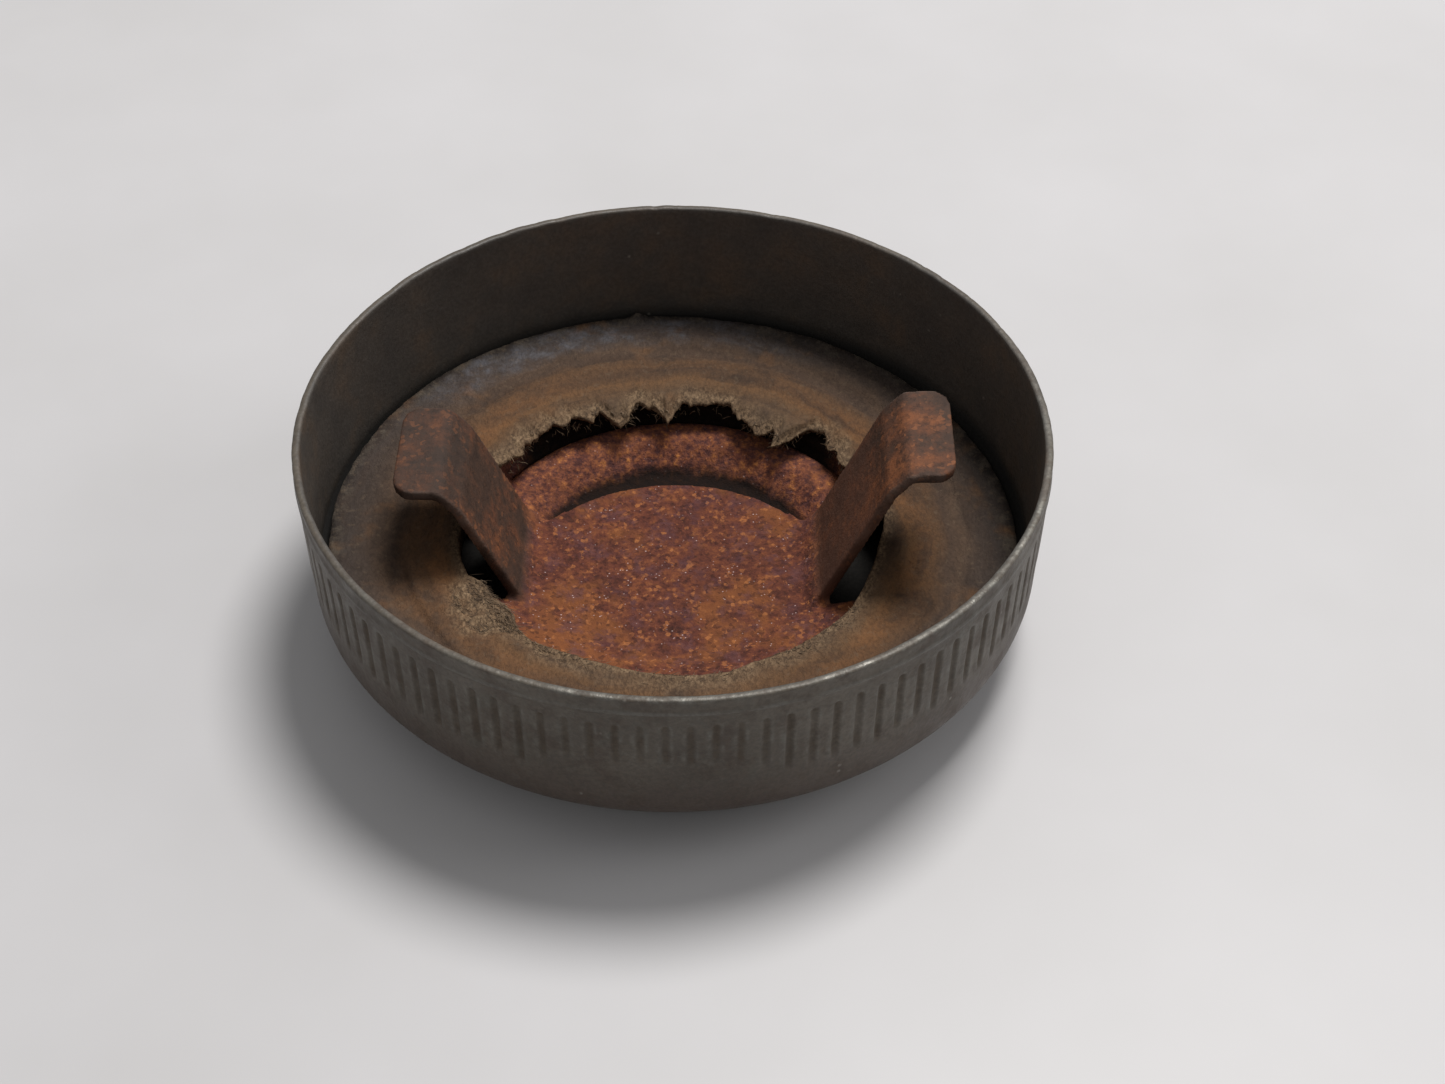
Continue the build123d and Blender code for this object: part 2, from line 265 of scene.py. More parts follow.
# ------------------------------------------------------------------ shell mesh
def build_shell():
    cols = []                     # 10 columns to each flute, close together at its edges
    step = 360.0 / FLUTES
    mm = 360.0 / (2 * math.pi * 40.0)
    local = [u * mm for u in (-0.62, -0.46, -0.33, -0.15, 0.15, 0.33, 0.46, 0.62, 0.9, 1.3)]
    for k in range(FLUTES):
        cols += [k * step + u for u in local]
    az = np.array(cols)
    a = math.radians(TURN)
    cx = R_SKIRT - R_SH
    slope = (R_RIM - R_SKIRT) / (HEIGHT - Z_SH)
    r_at = lambda z: R_SKIRT + slope * (z - Z_SH)
    rows = []                     # (r, z, outside 1 or 0)

    def add(r, z, out=1):
        rows.append((r, z, out))

    for r in (5, 12, 20, 27, 31, 32.6, 33.1):
        add(r, 0)
    for t in (30, 60, 90):
        t = math.radians(t)
        add(33.1 + 0.7 * math.sin(t), 0.7 - 0.7 * math.cos(t))
    end = (cx + R_SH * math.cos(a), Z_SH - R_SH * math.sin(a))
    zp = end[1] - (end[0] - R_PANEL) / math.tan(a)
    add(R_PANEL, 1.6)
    add(R_PANEL, 2.6)
    add(R_PANEL, zp)
    add(R_PANEL + 0.5, zp + 0.5 / math.tan(a))
    add((R_PANEL + end[0]) / 2, (zp + end[1]) / 2)
    for t in np.linspace(TURN, 0, 9):
        t = math.radians(t)
        add(cx + R_SH * math.cos(t), Z_SH - R_SH * math.sin(t))
    for z in (9.8, 10.8, 11.7, 12.0, 12.3, 12.6, 13.0, 13.6, 14.3, 14.7, 15.1, 15.6, 16.4, 17.4, 18.4, 19.1, 19.5, 19.75, 19.95, 20.15, 20.35, 20.55, 20.9, 21.4):
        add(r_at(z), z)
    zb = HEIGHT - 1.75
    for z, d in ((zb - 0.45, 0.0), (zb - 0.3, 0.07), (zb - 0.12, 0.12), (zb + 0.06, 0.06), (zb + 0.25, 0.0), (zb + 0.8, 0.0), (zb + 1.3, 0.0)):
        add(r_at(z) + d, z)
    add(R_RIM, HEIGHT - 0.22)
    add(R_RIM - 0.06, HEIGHT - 0.07)
    add(R_RIM - 0.2, HEIGHT)
    add(R_RIM - 0.42, HEIGHT + 0.02)
    add(R_RIM - SHEET + 0.2, HEIGHT, 0)
    add(R_RIM - SHEET + 0.06, HEIGHT - 0.07, 0)
    add(R_RIM - SHEET, HEIGHT - 0.22, 0)
    for z in (23.2, 22.4, 21.2, 19.6, 18.0, 16.0, 14.0, 12.0, 10.4, 8.85):
        add(r_at(z) - SHEET, z, 0)
    ri = R_SH - SHEET
    for t in (15, 32, 47, 62):
        t = math.radians(t)
        add(cx + ri * math.cos(t), Z_SH - ri * math.sin(t), 0)
    iend = (cx + ri * math.cos(a), Z_SH - ri * math.sin(a))
    rp = R_PANEL - SHEET
    add(rp, iend[1] - (iend[0] - rp) / math.tan(a), 0)
    add(rp, 1.1, 0)
    for r in (rp - 0.4, 30, 22, 14, 5):
        add(r, SHEET, 0)
    rows = np.array(rows)
    nr, nc = len(rows), len(az)
    R = np.repeat(rows[:, 0:1], nc, 1)
    Z = np.repeat(rows[:, 1:2], nc, 1)
    OUT = np.repeat(rows[:, 2:3], nc, 1)
    A = np.repeat(az[None], nr, 0)
    rad = np.radians(A)
    base = np.stack([R * np.cos(rad), R * np.sin(rad), Z], -1)
    flat = base.reshape(-1, 3)
    cyl = base.copy()
    cyl[..., :2] *= 40.0 / np.maximum(R[..., None], 1)      # the same for a whole column
    cyl[..., 2] = 0
    low = fbm(cyl.reshape(-1, 3), 22, 3, 5).reshape(nr, nc)
    wave = fbm(cyl.reshape(-1, 3), 6, 3, 9).reshape(nr, nc)
    nick = fbm(cyl.reshape(-1, 3), 1.3, 3, 11).reshape(nr, nc)
    up = ss(10, 23.9, Z)
    top = ss(22.6, 23.9, Z)
    # flutes
    k = np.round(A / step)
    u = (A - k * step) * np.radians(1) * 40.0
    kk = (k.astype(int) % FLUTES)
    rng = np.random.default_rng(12)
    deep, botz, topz, wide = rng.uniform(0.8, 1.15, FLUTES), rng.uniform(-0.35, 0.35, FLUTES), rng.uniform(-0.14, 0.14, FLUTES), rng.uniform(0.9, 1.1, FLUTES)
    azk = (np.arange(FLUTES) * step + 180) % 360 - 180
    worn = ss(-111, -104, azk) * (1 - ss(-79, -72, azk))     # the rubbed stretch
    deep *= 1 - 0.5 * worn
    z0 = FLUTE_Z0 + botz + 2.3 * worn
    z1 = FLUTE_Z1 + topz - 0.5
    dz = np.maximum(np.maximum(z0[kk] - Z, Z - z1[kk]), 0)
    d = np.hypot(u, dz) / wide[kk]
    skirt = (OUT > 0.5) & (Z > 10.5) & (Z < 21.6) & (R > 39)
    groove = np.where(skirt, 1 - ss(0.16, 0.50, d), 0)
    # each mark's lower end fades out
    fade = ss(-0.2, 1.2, Z - z0[kk] + 0.4)
    groove *= fade
    lip = np.where(skirt, np.exp(-((d - 0.60) / 0.15) ** 2), 0) * fade
    dr = -0.20 * groove * deep[kk] + 0.04 * lip * (1 - 0.3 * worn[kk])
    dr += up * 0.16 * low + 0.05 * top * wave
    rough = fbm(flat, 3.4, 3, 21).reshape(nr, nc)
    dr += np.where((R > 38) & (OUT > 0.5), 0.035 * rough, 0.02 * rough)
    rim = ss(23.45, 23.8, Z)
    dzr = rim * (0.05 * wave - 0.10 * np.clip(-nick - 0.12, 0, 1) ** 0.8 - 0.05)
    dr += rim * 0.06 * nick
    R2, Z2 = R + dr, Z + dzr
    crown = (Z < 0.05) & (OUT > 0.5)
    R2[crown], Z2[crown] = R[crown], 0.0
    P = np.stack([R2 * np.cos(rad), R2 * np.sin(rad), Z2], -1)
    attrs = {
        "groove": groove.ravel(),
        "lip": lip.ravel(),
        "rim": ss(23.5, 23.82, Z).ravel(),
        "outside": OUT.ravel(),
        "worn": (worn[kk] * skirt).ravel(),
    }
    ob = ring_mesh("cap_shell_skin", P, closed_rows=False, attrs=attrs)
    # close both discs at the axis
    bm = bmesh.new()
    bm.from_mesh(ob.data)
    bm.verts.ensure_lookup_table()
    edges = [e for e in bm.edges if e.is_boundary]
    for zc in (0.0, SHEET * MM):
        sel = [e for e in edges if abs(e.verts[0].co.z - zc) < 0.0002]
        bmesh.ops.edgeloop_fill(bm, edges=sel)
    bmesh.ops.recalc_face_normals(bm, faces=bm.faces)
    bm.to_mesh(ob.data)
    bm.free()
    return ob


# ------------------------------------------------------------------ gasket mesh
TEAR = [(-178, 23.6), (-168, 23.8), (-160, 23.6), (-157, 22.4), (-151, 22.2), (-145, 21.6), (-141, 21.6), (-136, 22.6),
        (-130, 22.9), (-121, 22.2), (-110, 21.8), (-98, 22.0), (-85, 22.1), (-74, 22.2), (-67, 21.6), (-55, 21.8),
        (-45, 21.9), (-30, 22.3), (-17, 22.1), (-3, 22.6), (8, 23.6), (18, 23.2), (28, 22.6), (33, 22.6), (37, 23.3),
        (42, 23.4), (46, 24.4), (50, 23.6), (52.5, 21.4), (54.5, 19.6), (57, 21.2), (61, 20.4), (66, 20.4), (70, 21.4),
        (74, 22.4), (84, 22.2), (91, 22.0), (94, 20.4), (98, 21.2), (102, 22.3), (107, 20.9), (111.5, 20.7), (115, 22.4),
        (119, 21.8), (123, 22.6), (128, 22.4), (134, 22.8), (139, 23.1), (144, 22.3), (149, 22.1), (154, 22.5),
        (164, 23.2), (174, 23.5)]
G0 = 6.12


def gasket_top(x, y):
    """Its top is a little higher on the left, where it was squeezed less."""
    return 8.8 - 0.0262 * x + 0.0027 * y


def tear_radius(az):
    ta = np.array([t[0] for t in TEAR] + [TEAR[0][0] + 360], float)
    tr = np.array([t[1] for t in TEAR] + [TEAR[0][1]], float)
    return np.interp((az + 178) % 360 - 178, ta, tr)


def build_gasket():
    nc = 1280
    az = np.arange(nc) * 360.0 / nc
    far = ss(12, 30, az) * (1 - ss(150, 166, az))              # the badly torn side
    ring = np.stack([30 * np.cos(np.radians(az)), 30 * np.sin(np.radians(az)), 0 * az], -1)
    rt = tear_radius(az)
    rt = rt + (0.10 + 0.65 * far) * fbm(ring, 2.6, 5, 31, 0.6) + far * 0.22 * fbm(ring, 0.5, 2, 33)
    tag = np.zeros(nc)
    for c, w, h in ((41.0, 2.6, 0.6), (54.0, 3.6, 1.3), (61.5, 3.4, 1.0), (71.0, 2.0, 0.5), (93.5, 3.0, 1.2), (100.0, 1.8, 0.5), (109.5, 4.0, 1.1), (117.5, 2.0, 0.6), (127.0, 2.2, 0.5), (138.0, 3.0, 0.7), (146.0, 2.2, 0.5)):
        tag = np.maximum(tag, h * np.exp(-(np.abs((az - c) / w) ** 3) * 1.2))
    tag *= 1 + 0.5 * fbm(ring, 0.8, 3, 39, 0.6)
    rt = rt - 0.75 * tag
    ro = 37.9 + 0.10 * fbm(ring, 5, 3, 35) - 0.30 * np.clip(fbm(ring, 1.5, 4, 37, 0.65) + 0.1, 0, 1)
    rows = []                                                   # each: (radius, height 0 bottom..1 top, torn)
    one = np.ones(nc)
    rows.append((ro - 1.6, 0 * one, 0 * one))
    rows.append((ro, 0.6 * one, 0 * one))
    rows.append((ro, 0.9 * one, 0 * one))
    ntop = 46
    for k in range(ntop):
        t = k / (ntop - 1)
        w = t**0.92
        rows.append(((ro - 0.18) * (1 - w) + (rt + 0.22) * w, one, ss(0.9, 1.0, t) * one))
    # the torn face: ragged layers from the top edge to the underside
    nf = 9
    for k in range(nf):
        t = (k + 0.5) / nf
        layer = np.stack([ring[:, 0], ring[:, 1], 9.0 * t * one], -1)
        ragged = fbm(layer, 1.5, 3, 41 + k, 0.6)
        rr = rt + (0.1 + 0.35 * far * (1 + t)) * ragged + far * (2.6 * ss(0.22, 0.75, t) - 0.12 * (t < 0.25))
        rows.append((rr, (1 - t) * one, one))
    rows.append((rt + 0.4 + 2.6 * far, 0 * one, one))
    rows.append((0.4 * rt + 0.6 * ro, 0 * one, 0 * one))
    nr = len(rows)
    R = np.stack([r[0] for r in rows])
    H = np.stack([r[1] for r in rows])
    T = np.stack([r[2] for r in rows])
    A = np.radians(np.repeat(az[None], nr, 0))
    X, Y = R * np.cos(A), R * np.sin(A)
    top = gasket_top(X, Y)
    deg = (np.degrees(A) + 180) % 360 - 180
    p3 = np.stack([X, Y, 0 * X], -1).reshape(-1, 3)
    on_top = H > 0.95
    # the ring that the filler neck pressed in, and the slope down to the inner edge
    pr = ss(29.6, 30.1, R) * (1 - ss(32.2, 32.9, R))
    relief = -0.26 * pr
    relief += -0.20 * (1 - ss(0.0, 3.6, R - rt[None])) ** 2
    relief += 0.05 * np.sin(R * 2.6 + 1.2 * fbm(p3, 14, 2, 51).reshape(R.shape)) * (1 - pr)
    relief += 0.12 * fbm(p3, 6, 3, 53).reshape(R.shape)
    fine = fbm(p3, 0.9, 3, 55, 0.6).reshape(R.shape)
    # torn patch by the left ear: the top layer is gone and fibres stand up
    patch_r = np.hypot((X + 19.6) / 5.0, (Y + 12.6) / 5.0)
    patch = 1 - ss(0.75, 1.1, patch_r + 0.22 * fbm(p3, 2.4, 3, 57).reshape(R.shape))
    near = (1 - ss(0.5, 4.0, R - rt[None])) * ss(-160, -148, deg) * (1 - ss(-40, -20, deg))
    near *= ss(-0.25, 0.3, fbm(p3, 3.0, 3, 59).reshape(R.shape) + 0.25)
    edge = (1 - ss(0.3, 2.7, R - rt[None] + 1.1 * fbm(p3, 2.0, 3, 61).reshape(R.shape))) * far[None]
    torn = np.clip(np.maximum(np.maximum(T, patch), np.maximum(0.75 * near, edge)), 0, 1)
    relief += -0.32 * patch * (1 + 0.8 * fine) - 0.12 * near * (1 + fine) - 0.3 * edge * (0.6 + 0.8 * fine)
    relief += 0.045 * fine
    relief -= 0.62 * tag[None] * (1 - ss(0.0, 2.4, R - rt[None]))
    # fuzzy bump at the far outer edge
    relief += 0.55 * np.exp(-(((deg - 98.3) / 1.6) ** 2)) * ss(36.6, 37.4, R) * (1 + 0.5 * fine)
    # cracks on the right
    for (x0, y0, x1, y1, wd) in ((23.2, -6.5, 27.4, -4.3, 0.16), (20.7, -10.0, 22.6, -9.0, 0.14), (26.0, -4.6, 26.6, -7.2, 0.12)):
        wob = 0.3 * fbm(p3, 1.1, 2, 63).reshape(R.shape)
        dx, dy = x1 - x0, y1 - y0
        t = np.clip(((X - x0) * dx + (Y - y0) * dy) / (dx * dx + dy * dy), 0, 1)
        dd = np.hypot(X - x0 - t * dx + wob, Y - y0 - t * dy)
        relief -= 0.28 * np.exp(-((dd / wd) ** 2))
    Zt = top + relief
    Z = G0 + (Zt - G0) * H
    P = np.stack([X, Y, Z], -1)
    # the face attribute grows down the torn face and masks painted shade there
    face = (T > 0.5) & (H < 0.95)
    attrs = {"torn": torn.ravel(), "face": (face * (1 - H)).ravel(), "patch": patch.ravel()}
    return ring_mesh("gasket_fibre_ring", P, closed_rows=True, attrs=attrs)


def build_fibres():
    """Loose fibres at the torn edge and on the torn patch, as thin tapered tubes."""
    rng = np.random.default_rng(77)
    V, F, S = [], [], []

    def tube(p, d, length, r0, droop, curl):
        n = 5
        p = np.array(p, float)
        d = np.array(d, float)
        d /= np.linalg.norm(d)
        first = len(V)
        for i in range(n):
            t = i / (n - 1)
            side = np.cross(d, (0.13, 0.31, 1))
            side /= np.linalg.norm(side) + 1e-9
            upv = np.cross(side, d)
            r = r0 * (1 - 0.75 * t)
            for q in range(3):
                w = 2 * math.pi * q / 3
                V.append(p + r * (math.cos(w) * side + math.sin(w) * upv))
                S.append(shade)
            p = p + d * length / (n - 1)
            d = d + curl * rng.normal(0, 1, 3) + np.array([0, 0, -droop])
            d /= np.linalg.norm(d)
        for i in range(n - 1):
            for q in range(3):
                a = first + 3 * i + q
                b = first + 3 * i + (q + 1) % 3
                F.append((a, b, b + 3, a + 3))
        F.append((first + 2, first + 1, first))
        k = first + 3 * (n - 1)
        F.append((k, k + 1, k + 2))

    tags = [(46, 1), (54.5, 3), (63, 3), (94, 2.5), (109, 3), (122, 1), (139, 1)]
    for i in range(430):
        if rng.random() < 0.55:
            c, w = tags[rng.integers(len(tags))]
            a = c + rng.normal(0, 2.4)
            if rng.random() > w / 3:
                continue
        else:
            a = rng.uniform(24, 158)
        rt = float(tear_radius(np.array([a]))[0])
        ar = math.radians(a)
        n = np.array([math.cos(ar), math.sin(ar), 0])
        h = rng.uniform(0.15, 0.98)
        r = rt + rng.uniform(0.0, 0.35)
        top = gasket_top(r * n[0], r * n[1]) - 0.25
        p = n * r + np.array([0, 0, G0 + (top - G0) * h])
        tang = np.array([-n[1], n[0], 0])
        d = -n * rng.uniform(0.4, 1.0) + tang * rng.normal(0, 0.8) + np.array([0, 0, rng.normal(-0.15, 0.35)])
        shade = rng.random()
        tube(p, d, rng.uniform(0.35, 1.25), rng.uniform(0.045, 0.10), 0.22, 0.28)
    for i in range(620):
        a = rng.uniform(0, 2 * math.pi)
        q = math.sqrt(rng.random()) * 1.05
        x, y = -19.6 + 4.9 * q * math.cos(a), -12.6 + 4.9 * q * math.sin(a)
        rr = math.hypot(x, y)
        if rr < float(tear_radius(np.array([math.degrees(math.atan2(y, x))]))[0]) + 0.1:
            continue
        z = gasket_top(x, y) - 0.42
        w = rng.normal(math.radians(-38), 0.55)
        shade = rng.random()
        tube((x, y, z), (math.cos(w), math.sin(w), rng.uniform(-0.05, 0.14)), rng.uniform(0.7, 1.9), rng.uniform(0.028, 0.055), 0.05, 0.12)
    for i in range(520):                                     # near inner edge, lying flat
        a = rng.uniform(-146, -28)
        rt = float(tear_radius(np.array([a]))[0])
        r = rt + abs(rng.normal(0, 1.4)) + 0.05
        ar = math.radians(a)
        x, y = r * math.cos(ar), r * math.sin(ar)
        z = gasket_top(x, y) - 0.26
        w = ar + math.pi / 2 + rng.normal(0, 0.75)
        shade = rng.random()
        tube((x, y, z), (math.cos(w), math.sin(w), rng.uniform(0.0, 0.2)), rng.uniform(0.4, 1.3), rng.uniform(0.03, 0.055), 0.08, 0.2)
    return mesh_object("gasket_loose_fibres", np.array(V), F, {"shade": np.array(S)})


# ------------------------------------------------------------------ lock plate mesh
def build_plate():
    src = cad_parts["lock_plate"]
    me = bpy.data.meshes.new_from_object(src)
    ob = bpy.data.objects.new("lock_plate_rusted", me)
    bpy.context.scene.collection.objects.link(ob)
    md = ob.modifiers.new("remesh", "REMESH")
    md.mode = "VOXEL"
    md.voxel_size = 0.34 * MM
    dg = bpy.context.evaluated_depsgraph_get()
    me2 = bpy.data.meshes.new_from_object(ob.evaluated_get(dg))
    ob.modifiers.clear()
    ob.data = me2
    n = len(me2.vertices)
    co = np.empty(n * 3)
    me2.vertices.foreach_get("co", co)
    co = co.reshape(-1, 3) / MM
    no = np.empty(n * 3)
    me2.vertices.foreach_get("normal", no)
    no = no.reshape(-1, 3)
    r = np.hypot(co[:, 0], co[:, 1])
    ear = ss(14.0, 16.5, np.abs(co[:, 0])) * ss(3.6, 5.4, co[:, 2]) * (np.abs(co[:, 1]) < 7.6) * (r < 31)
    open_ = 1 - ss(24.0, 25.5, r)
    grain = fbm(co, 0.80, 3, 71, 0.62)
    lump = fbm(co, 3.2, 3, 73)
    amp = np.where(ear > 0.5, 0.032, 0.085) * np.maximum(open_, (ear > 0.5) * 1.0)
    d = amp * grain + 0.05 * lump * (1 - 0.4 * ear) * np.maximum(open_, 1.0 * (ear > 0.5))
    co = co + no * d[:, None]
    me2.vertices.foreach_set("co", (co * MM).ravel())
    me2.polygons.foreach_set("use_smooth", np.ones(len(me2.polygons), bool))
    me2.update()
    for k, v in {"ear": ear, "grain": grain}.items():
        at = me2.attributes.new(k, "FLOAT", "POINT")
        at.data.foreach_set("value", v.astype(np.float32))
    me2.materials.clear()
    return ob


# ------------------------------------------------------------------ materials
def shell_material():
    m = Mat("patinated_shell_steel")
    x, y, z = m.xyz()
    zmm = m.math("MULTIPLY", z, 1000.0)
    big = m.noise(14, 3, 0.6)
    mid = m.noise(2.6, 4, 0.62, seed=2.0)
    fine = m.noise(0.45, 3, 0.6, seed=4.0)
    streak = m.noise(5.0, 4, 0.6, vec=m.scaled(m.pos, (1, 1, 5.5)), seed=6.0)
    base = m.ramp(big, [(0.30, (0.064, 0.051, 0.038)), (0.50, (0.092, 0.075, 0.056)), (0.70, (0.120, 0.100, 0.077))])
    base = m.mix(m.span(mid, 0.46, 0.66, 0, 0.60), base, (0.064, 0.042, 0.030))
    base = m.mix(m.span(m.noise(1.1, 4, 0.7, seed=14.0), 0.52, 0.70, 0, 0.45), base, (0.125, 0.116, 0.094))
    base = m.mix(m.span(m.noise(5.0, 4, 0.7, seed=16.0), 0.55, 0.68, 0, 0.5), base, (0.088, 0.083, 0.064))
    # reddish, darker shoulder
    low = m.span(m.math("ADD", zmm, m.span(mid, 0.3, 0.7, -2.0, 2.0)), 14.5, 7.0)
    base = m.mix(m.math("MULTIPLY", low, 0.66), base, (0.062, 0.040, 0.031))
    # paler line along the crown panel's edge: a painted highlight, where the edge catches light from the table
    panel_edge_highlight = m.math("MULTIPLY", m.span(zmm, 4.4, 3.2), m.span(zmm, -0.2, 0.4))
    base = m.mix(m.math("MULTIPLY", panel_edge_highlight, m.span(fine, 0.3, 0.6, 0.35, 0.8)), base, (0.120, 0.121, 0.104))
    groove = m.attr("groove")
    lip = m.attr("lip")
    base = m.mix(m.math("MULTIPLY", groove, m.span(mid, 0.3, 0.62, 0.15, 0.75)), base, (0.070, 0.050, 0.032))
    lipf = m.math("MULTIPLY", lip, m.span(m.noise(1.7, 3, 0.6, seed=8.0), 0.44, 0.70, 0.05, 0.70))
    base = m.mix(lipf, base, (0.155, 0.148, 0.126))
    # band under the rim: a rubbed ridge
    ridge = m.math("MULTIPLY", m.span(zmm, 21.65, 21.95), m.span(zmm, 22.45, 22.15))
    base = m.mix(m.math("MULTIPLY", ridge, m.span(streak, 0.38, 0.62, 0.1, 0.65)), base, (0.150, 0.143, 0.126))
    # inside: dark brown, with faint brown patches
    inside = m.ramp(m.noise(7, 4, 0.6, seed=10.0), [(0.3, (0.058, 0.052, 0.047)), (0.5, (0.078, 0.066, 0.056)), (0.72, (0.115, 0.080, 0.055))])
    inside = m.mix(m.span(streak, 0.55, 0.75, 0, 0.5), inside, (0.060, 0.052, 0.044))
    # painted shade: below z 10.5 the inside turns near black, for the cavity under the gasket and lock plate that lies
    # in shadow
    deep = m.math("MULTIPLY", m.span(zmm, 10.5, 8.0), m.math("SUBTRACT", 1.0, m.attr("outside")))
    inside = m.mix(deep, inside, (0.005, 0.004, 0.003))
    col = m.mix(m.attr("outside"), inside, base)
    # bright rubbed rim: real wear, patchy, with a painted highlight that grows towards the front and towards the right
    front_highlight = m.span(m.math("MULTIPLY", y, 1000.0), 30.0, -25.0, 0.35, 1.0)
    right = m.span(m.math("ADD", m.math("MULTIPLY", x, 1000.0), m.math("MULTIPLY", y, -500.0)), -30.0, 30.0, 0.14, 1.0)
    rim = m.math("MULTIPLY", m.math("MULTIPLY", m.attr("rim"), front_highlight), m.span(m.noise(1.3, 4, 0.75, seed=12.0), 0.38, 0.62, 0.05, 1.0))
    rim = m.math("MULTIPLY", rim, m.math("MULTIPLY", right, m.span(m.noise(9.0, 3, 0.6, seed=15.0), 0.36, 0.60, 0.35, 1.0)))
    col = m.mix(rim, col, (0.215, 0.208, 0.188))
    col = m.mix(m.span(fine, 0.35, 0.65, 0.0, 0.30), col, (0.02, 0.017, 0.014))
    # pin-prick bright spots
    spot = m.span(m.voronoi(1.9), 0.16, 0.05)
    spot = m.math("MULTIPLY", spot, m.span(mid, 0.56, 0.66))
    col = m.mix(m.math("MULTIPLY", spot, 0.7), col, (0.23, 0.21, 0.18))
    rough = m.math("ADD", m.span(mid, 0.3, 0.7, 0.42, 0.60), m.math("MULTIPLY", groove, 0.2))
    rough = m.math("MAXIMUM", rough, deep)
    metal = m.math("MULTIPLY", rim, 0.75)
    bh = m.math("ADD", m.math("MULTIPLY", fine, 0.6), m.math("MULTIPLY", mid, 0.8))
    m.set(Base_Color=col, Roughness=rough, Metallic=metal, Normal=m.bump(bh, 0.10, 0.9))
    m.b.inputs["Specular IOR Level"].default_value = 0.45
    return m.m


def gasket_material():
    m = Mat("stained_fibre_gasket")
    x, y, z = m.xyz()
    r = m.radius()
    warp = m.span(m.noise(9, 3, 0.55), 0.25, 0.75, -1.2, 1.2, False)
    warp2 = m.span(m.noise(2.2, 3, 0.6, seed=3.0), 0.25, 0.75, -0.35, 0.35, False)
    rw = m.math("ADD", r, m.math("ADD", warp, warp2))
    t = m.span(rw, 21.0, 38.0, 0, 1, False)
    col = m.ramp(t, [(0.00, (0.120, 0.078, 0.047)), (0.16, (0.125, 0.073, 0.040)), (0.27, (0.150, 0.078, 0.036)),
                     (0.36, (0.092, 0.052, 0.030)), (0.46, (0.125, 0.066, 0.033)), (0.56, (0.080, 0.050, 0.034)),
                     (0.64, (0.100, 0.062, 0.040)), (0.74, (0.070, 0.048, 0.036)), (0.88, (0.058, 0.044, 0.037)), (0.97, (0.026, 0.020, 0.017))])
    # bluish-grey sheen on the outer band, mostly far and left
    side = m.math("MULTIPLY", m.span(m.math("MULTIPLY", y, 1000.0), 14.0, 27.0), m.span(m.math("MULTIPLY", x, 1000.0), 22.0, -4.0))
    band = m.math("MULTIPLY", m.span(rw, 31.5, 34.0), m.span(rw, 37.6, 36.2))
    blue = m.math("MULTIPLY", m.math("MULTIPLY", band, side), m.span(m.noise(3.2, 4, 0.7, seed=5.0), 0.40, 0.66, 0.12, 0.95))
    col = m.mix(blue, col, (0.112, 0.110, 0.122))
    blotch = m.noise(4.5, 4, 0.65, seed=7.0)
    col = m.mix(m.span(blotch, 0.50, 0.70, 0, 0.65), col, (0.042, 0.028, 0.021))
    ring_o = m.math("MULTIPLY", m.span(rw, 24.6, 26.4), m.span(rw, 29.2, 27.2))
    sides = m.span(m.math("ABSOLUTE", m.math("MULTIPLY", x, 1000.0)), 8.0, 22.0)
    col = m.mix(m.math("MULTIPLY", m.math("MULTIPLY", ring_o, sides), m.span(m.noise(5.5, 3, 0.6, seed=17.0), 0.36, 0.6, 0.1, 0.8)), col, (0.205, 0.093, 0.036))
    rings = m.noise(1.6, 3, 0.6, vec=m.vec(m.math("MULTIPLY", rw, 0.001), m.math("MULTIPLY", x, 0.12), m.math("MULTIPLY", y, 0.12)), seed=19.0)
    col = m.mix(m.span(rings, 0.50, 0.68, 0, 0.55), col, (0.052, 0.033, 0.024))
    dirt = m.math("MULTIPLY", m.span(rw, 35.4, 37.4), m.span(m.noise(2.0, 4, 0.7, seed=21.0), 0.42, 0.62))
    col = m.mix(m.math("MULTIPLY", dirt, 0.8), col, (0.110, 0.088, 0.066))
    col = m.mix(m.span(m.noise(6.0, 3, 0.6, seed=9.0), 0.54, 0.72, 0, 0.6), col, (0.170, 0.082, 0.034))
    fib = m.noise(0.35, 4, 0.7, vec=m.scaled(m.pos, (1.0, 0.6, 1.0)), dist=0.6, seed=11.0)
    tan = m.ramp(fib, [(0.32, (0.060, 0.037, 0.021)), (0.48, (0.150, 0.095, 0.053)), (0.66, (0.280, 0.190, 0.112))])
    torn = m.attr("torn")
    tornf = m.math("MULTIPLY", torn, m.span(m.noise(1.4, 3, 0.6, seed=13.0), 0.25, 0.6, 0.45, 1.0))
    col = m.mix(tornf, col, tan)
    # painted shade: the torn face darkens to near black towards its bottom, where the cavity under the torn layer lies
    # in shadow
    col = m.mix(m.math("MULTIPLY", m.span(m.attr("face"), 0.35, 1.0), 0.85), col, (0.030, 0.020, 0.014))
    col = m.mix(m.span(fib, 0.32, 0.62, 0.40, 0.0), col, (0.02, 0.013, 0.01))
    col = m.mix(m.span(m.noise(0.8, 3, 0.7, seed=23.0), 0.54, 0.70, 0, 0.35), col, (0.150, 0.105, 0.068))
    sheen = m.math("SUBTRACT", 0.85, m.math("MULTIPLY", blue, 0.32))
    m.set(Base_Color=col, Roughness=sheen, Normal=m.bump(m.math("ADD", fib, m.math("MULTIPLY", blotch, 0.6)), 0.22, 1.0))
    m.b.inputs["Specular IOR Level"].default_value = 0.25
    return m.m


def fibre_material():
    m = Mat("loose_fibre")
    s = m.attr("shade")
    m.set(Base_Color=m.ramp(s, [(0, (0.060, 0.038, 0.022)), (0.6, (0.130, 0.085, 0.049)), (1, (0.220, 0.150, 0.090))]), Roughness=0.85)
    return m.m


